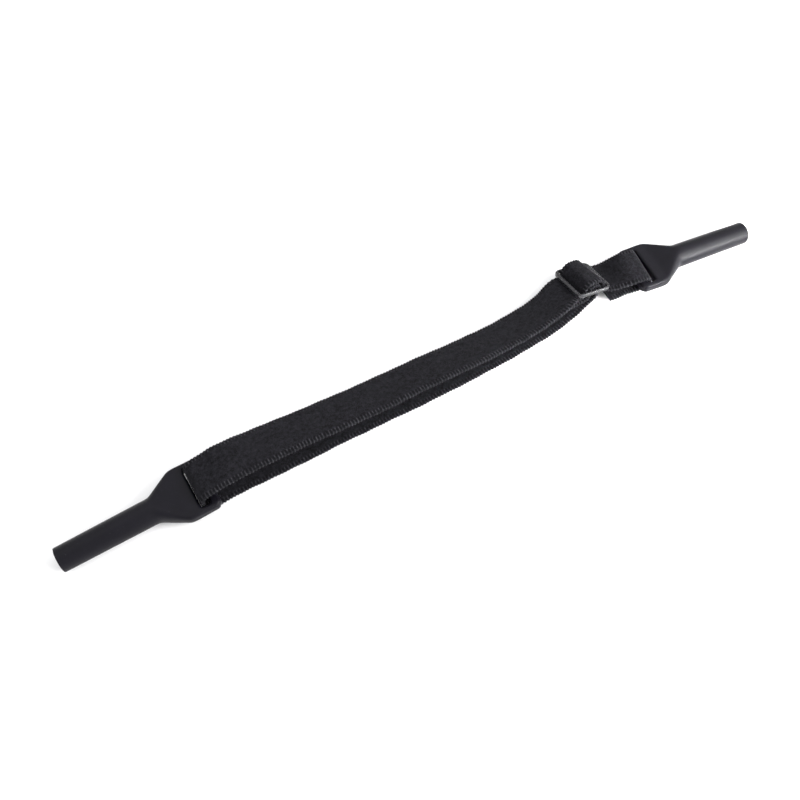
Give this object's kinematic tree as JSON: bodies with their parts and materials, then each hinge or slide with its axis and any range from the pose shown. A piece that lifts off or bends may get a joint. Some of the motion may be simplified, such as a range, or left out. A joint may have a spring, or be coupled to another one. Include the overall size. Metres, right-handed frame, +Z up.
{
  "type": "glasses retainer strap",
  "caption": "Adjustable elastic glasses strap: a doubled flat woven band with a three-bar slide between two soft temple sleeves.",
  "frame": {"origin": "middle of the whole strap's box, on the table it lies on", "axes": "+X along the strap from the near temple sleeve's mouth to the far one's, +Z up from the table"},
  "size_m": [0.205, 0.0198, 0.0094],
  "materials": {
    "rubber": "matt moulded silicone, slate black",
    "slide": "smooth, slightly glossy dark grey",
    "elastic": "black woven elastic with a brushed nap and ribbed picot edges",
    "thread": "black polyester thread"
  },
  "bodies": {
    "band": {"band_upper_run": "elastic", "band_lower_run": "elastic"},
    "near_anchor": {"band_upper_stretch": "elastic", "band_lower_stretch": "elastic"},
    "near_sleeve": {"near_sleeve": "rubber", "band_near_loop": "elastic"},
    "adjuster": {"adjuster_frame": "slide", "band_over_bar": "elastic", "band_bar_loop": "elastic", "adjuster_bartack": "thread"},
    "tail": {"band_tail_run": "elastic", "band_far_hem": "elastic"},
    "far_sleeve": {"far_sleeve": "rubber", "band_far_loop": "elastic", "far_bartack": "thread"}
  },
  "joints": [
    {"name": "elastic_stretch", "type": "slide", "parent": "band", "child": "near_anchor", "axis": [-1, 0, 0], "range_m": [0, 0.03], "stiffness_N_per_m": 200, "deforming": ["band_upper_stretch", "band_lower_stretch"]},
    {"name": "near_sleeve_flex", "type": "hinge", "parent": "near_anchor", "child": "near_sleeve", "pos_m": [-0.05989, -0.00198, 0.00335], "axis": [-0.0419, 0.9991, 0], "range_deg": [-70, 70], "stiffness_Nm_per_rad": 0.002, "deforming": ["band_near_loop"]},
    {"name": "adjuster_slide", "type": "slide", "parent": "band", "child": "adjuster", "axis": [0.9972, 0.0748, 0], "range_m": [-0.06, 0], "deforming": ["band_upper_run", "band_lower_run"]},
    {"name": "tail_payout", "type": "slide", "parent": "adjuster", "child": "tail", "axis": [0.9945, -0.1045, -0.0052], "range_m": [0, 0.12], "deforming": ["band_tail_run"]},
    {"name": "far_sleeve_flex", "type": "hinge", "parent": "tail", "child": "far_sleeve", "pos_m": [0.06157, -0.00009, 0.00356], "axis": [-0.1045, -0.9945, 0], "range_deg": [-70, 70], "stiffness_Nm_per_rad": 0.002, "deforming": ["band_far_loop"]}
  ],
  "couplings": [
    {"joint": "tail_payout", "follows": "adjuster_slide", "ratio": -2}
  ]
}
